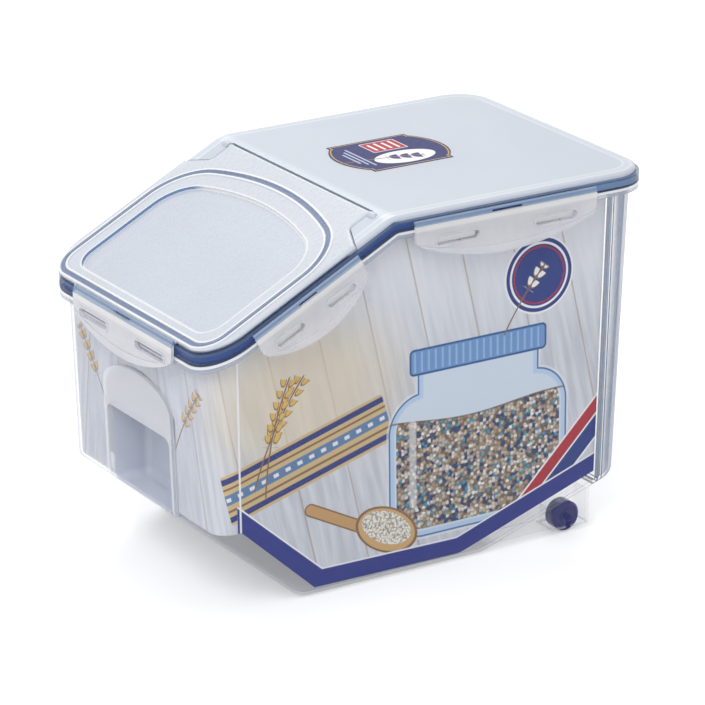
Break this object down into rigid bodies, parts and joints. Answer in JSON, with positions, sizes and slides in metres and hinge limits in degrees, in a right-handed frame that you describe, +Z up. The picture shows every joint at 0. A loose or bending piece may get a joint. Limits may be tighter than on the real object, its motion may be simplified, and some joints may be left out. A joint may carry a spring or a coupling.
{
  "type": "rice storage bin with flip lid",
  "caption": "Clear rice bin on rear wheels with a gasketed latching lid whose sloping front flap hinges up to pour or scoop, a grip recess in front and a printed card liner.",
  "frame": {"origin": "on the surface the bin stands on, under the middle of its bounding box", "axes": "+X to the long side seen in the picture; -Y to the front with the grip recess and the flip lid's latch; +Z up"},
  "size_m": [0.219, 0.3364, 0.2458],
  "materials": {
    "clear_plastic": "gloss",
    "printed_card": "satin",
    "wheel_plastic": "gloss",
    "frosted_plastic": "satin",
    "navy_silicone": "satin",
    "label_paper": "satin",
    "flip_plastic": "satin",
    "blue_silicone": "satin",
    "latch_plastic": "gloss"
  },
  "bodies": {
    "container": {"container": "clear_plastic", "insert_card": "printed_card"},
    "main_lid": {"main_lid": "frosted_plastic", "main_gasket": "navy_silicone", "lid_label": "label_paper"},
    "flip_lid": {"flip_lid": "flip_plastic", "flip_gasket": "blue_silicone"},
    "upper_right_latch": {"upper_right_latch": "latch_plastic"},
    "upper_left_latch": {"upper_left_latch": "latch_plastic"},
    "lower_right_latch": {"lower_right_latch": "latch_plastic"},
    "lower_left_latch": {"lower_left_latch": "latch_plastic"},
    "rear_latch": {"rear_latch": "latch_plastic"},
    "front_latch": {"front_latch": "latch_plastic"},
    "right_wheel": {"right_wheel": "wheel_plastic"},
    "left_wheel": {"left_wheel": "wheel_plastic"}
  },
  "joints": [
    {"name": "main_lid_lift", "type": "slide", "parent": "container", "child": "main_lid", "axis": [0, 0, 1], "range_m": [0, 0.12]},
    {"name": "flip_lid_hinge", "type": "hinge", "parent": "main_lid", "child": "flip_lid", "pos_m": [0, -0.0374, 0.24224], "axis": [-1, 0, 0], "range_deg": [0, 120]},
    {"name": "upper_right_latch_hinge", "type": "hinge", "parent": "main_lid", "child": "upper_right_latch", "pos_m": [0.1064, 0.049, 0.2398], "axis": [0, -1, 0], "range_deg": [0, 120]},
    {"name": "upper_left_latch_hinge", "type": "hinge", "parent": "main_lid", "child": "upper_left_latch", "pos_m": [-0.1064, 0.049, 0.2398], "axis": [0, 1, 0], "range_deg": [0, 120]},
    {"name": "lower_right_latch_hinge", "type": "hinge", "parent": "main_lid", "child": "lower_right_latch", "pos_m": [0.1064, -0.09716, 0.20665], "axis": [0, -0.8908, -0.4544], "range_deg": [0, 120]},
    {"name": "lower_left_latch_hinge", "type": "hinge", "parent": "main_lid", "child": "lower_left_latch", "pos_m": [-0.1064, -0.09716, 0.20665], "axis": [0, 0.8908, 0.4544], "range_deg": [0, 120]},
    {"name": "rear_latch_hinge", "type": "hinge", "parent": "main_lid", "child": "rear_latch", "pos_m": [0, 0.1651, 0.2398], "axis": [1, 0, 0], "range_deg": [0, 120]},
    {"name": "front_latch_hinge", "type": "hinge", "parent": "flip_lid", "child": "front_latch", "pos_m": [0, -0.1651, 0.177], "axis": [-1, 0, 0], "range_deg": [0, 120]},
    {"name": "right_wheel_spin", "type": "hinge", "parent": "container", "child": "right_wheel", "pos_m": [0.0814, 0.1136, 0.0102], "axis": [1, 0, 0], "continuous": true},
    {"name": "left_wheel_spin", "type": "hinge", "parent": "container", "child": "left_wheel", "pos_m": [-0.0814, 0.1136, 0.0102], "axis": [1, 0, 0], "continuous": true}
  ]
}
